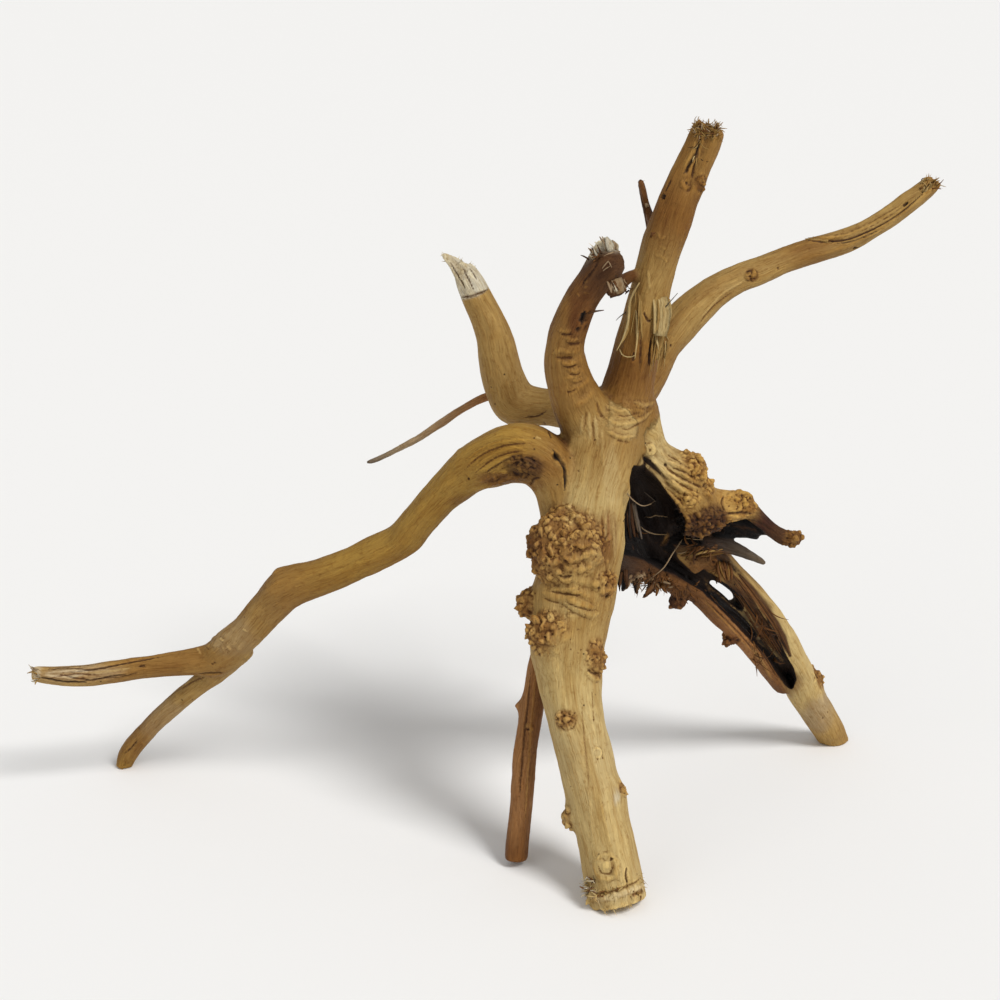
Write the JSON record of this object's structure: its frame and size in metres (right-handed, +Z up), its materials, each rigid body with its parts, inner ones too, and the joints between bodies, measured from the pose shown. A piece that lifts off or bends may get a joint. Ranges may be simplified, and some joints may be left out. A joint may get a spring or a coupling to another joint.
{
  "type": "piece of driftwood",
  "caption": "Branching root of sun-bleached driftwood that stands on its leg ends, with burls, a hollow leg, torn stubs and long arms.",
  "frame": {"origin": "on the floor, under the middle of the part's bounding box", "axes": "+X along the length, from the forked end of the left arm to the tip of the right arm; +Z up from the floor that the leg ends stand on; the picture looks along +Y from 20 degrees above the horizon"},
  "size_m": [0.411, 0.1745, 0.3181],
  "materials": {
    "driftwood": "dry, bark-free root wood, matt, worn smooth, with fine grain and pinholes"
  },
  "bodies": {
    "root": {"driftwood": "driftwood"}
  },
  "joints": []
}
